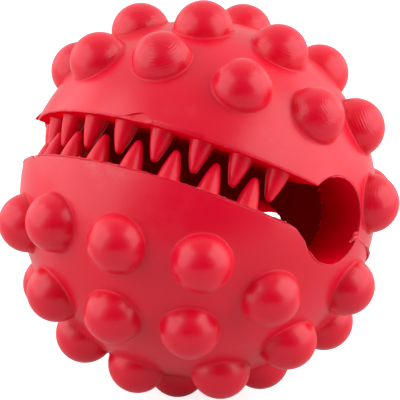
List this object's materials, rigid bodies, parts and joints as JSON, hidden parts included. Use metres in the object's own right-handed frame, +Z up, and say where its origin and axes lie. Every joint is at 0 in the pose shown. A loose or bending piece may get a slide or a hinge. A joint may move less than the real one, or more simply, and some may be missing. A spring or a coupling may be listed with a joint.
{
  "type": "treat dispensing ball",
  "caption": "Hollow rubber dog ball with a toothed mouth slot, a treat hole at each corner of the mouth and round knobs all over; the mouth flexes open to take treats.",
  "frame": {"origin": "on the ground, under the middle of the ball as it lies on three of its knobs", "axes": "+Z up; -Y is the side that the picture shows, with the mouth open across it; +X to its right"},
  "size_m": [0.0828, 0.085, 0.0839],
  "materials": {
    "red_rubber": "matte moulded natural rubber, slightly hazy"
  },
  "bodies": {
    "lower_half": {"lower_shell": "red_rubber", "lower_hinge_root": "red_rubber", "hinge_strip": "red_rubber", "lower_tooth_01": "red_rubber", "lower_tooth_02": "red_rubber", "lower_tooth_03": "red_rubber", "lower_tooth_04": "red_rubber", "lower_tooth_05": "red_rubber", "lower_tooth_06": "red_rubber", "lower_tooth_07": "red_rubber", "lower_tooth_08": "red_rubber", "lower_tooth_09": "red_rubber", "lower_tooth_10": "red_rubber", "lower_tooth_11": "red_rubber", "lower_tooth_12": "red_rubber", "lower_tooth_13": "red_rubber", "lower_tooth_14": "red_rubber", "lower_tooth_15": "red_rubber", "lower_lip_knobs": "red_rubber", "lower_rear_knobs": "red_rubber", "lower_belly_knobs": "red_rubber", "lower_base_knobs": "red_rubber", "resting_knobs": "red_rubber"},
    "upper_half": {"upper_shell": "red_rubber", "upper_hinge_root": "red_rubber", "upper_tooth_01": "red_rubber", "upper_tooth_02": "red_rubber", "upper_tooth_03": "red_rubber", "upper_tooth_04": "red_rubber", "upper_tooth_05": "red_rubber", "upper_tooth_06": "red_rubber", "upper_tooth_07": "red_rubber", "upper_tooth_08": "red_rubber", "upper_tooth_09": "red_rubber", "upper_tooth_10": "red_rubber", "upper_tooth_11": "red_rubber", "upper_tooth_12": "red_rubber", "upper_tooth_13": "red_rubber", "upper_tooth_14": "red_rubber", "upper_tooth_15": "red_rubber", "upper_lip_knobs": "red_rubber", "upper_shoulder_knobs": "red_rubber", "upper_crown_knob": "red_rubber", "upper_rear_knobs": "red_rubber"}
  },
  "joints": [
    {"name": "jaw_flex", "type": "hinge", "parent": "lower_half", "child": "upper_half", "pos_m": [0.02809, 0.00052, 0.02976], "axis": [-0.216, 0.8478, -0.4843], "range_deg": [-2, 12], "stiffness_Nm_per_rad": 2, "deforming": ["hinge_strip"]}
  ]
}
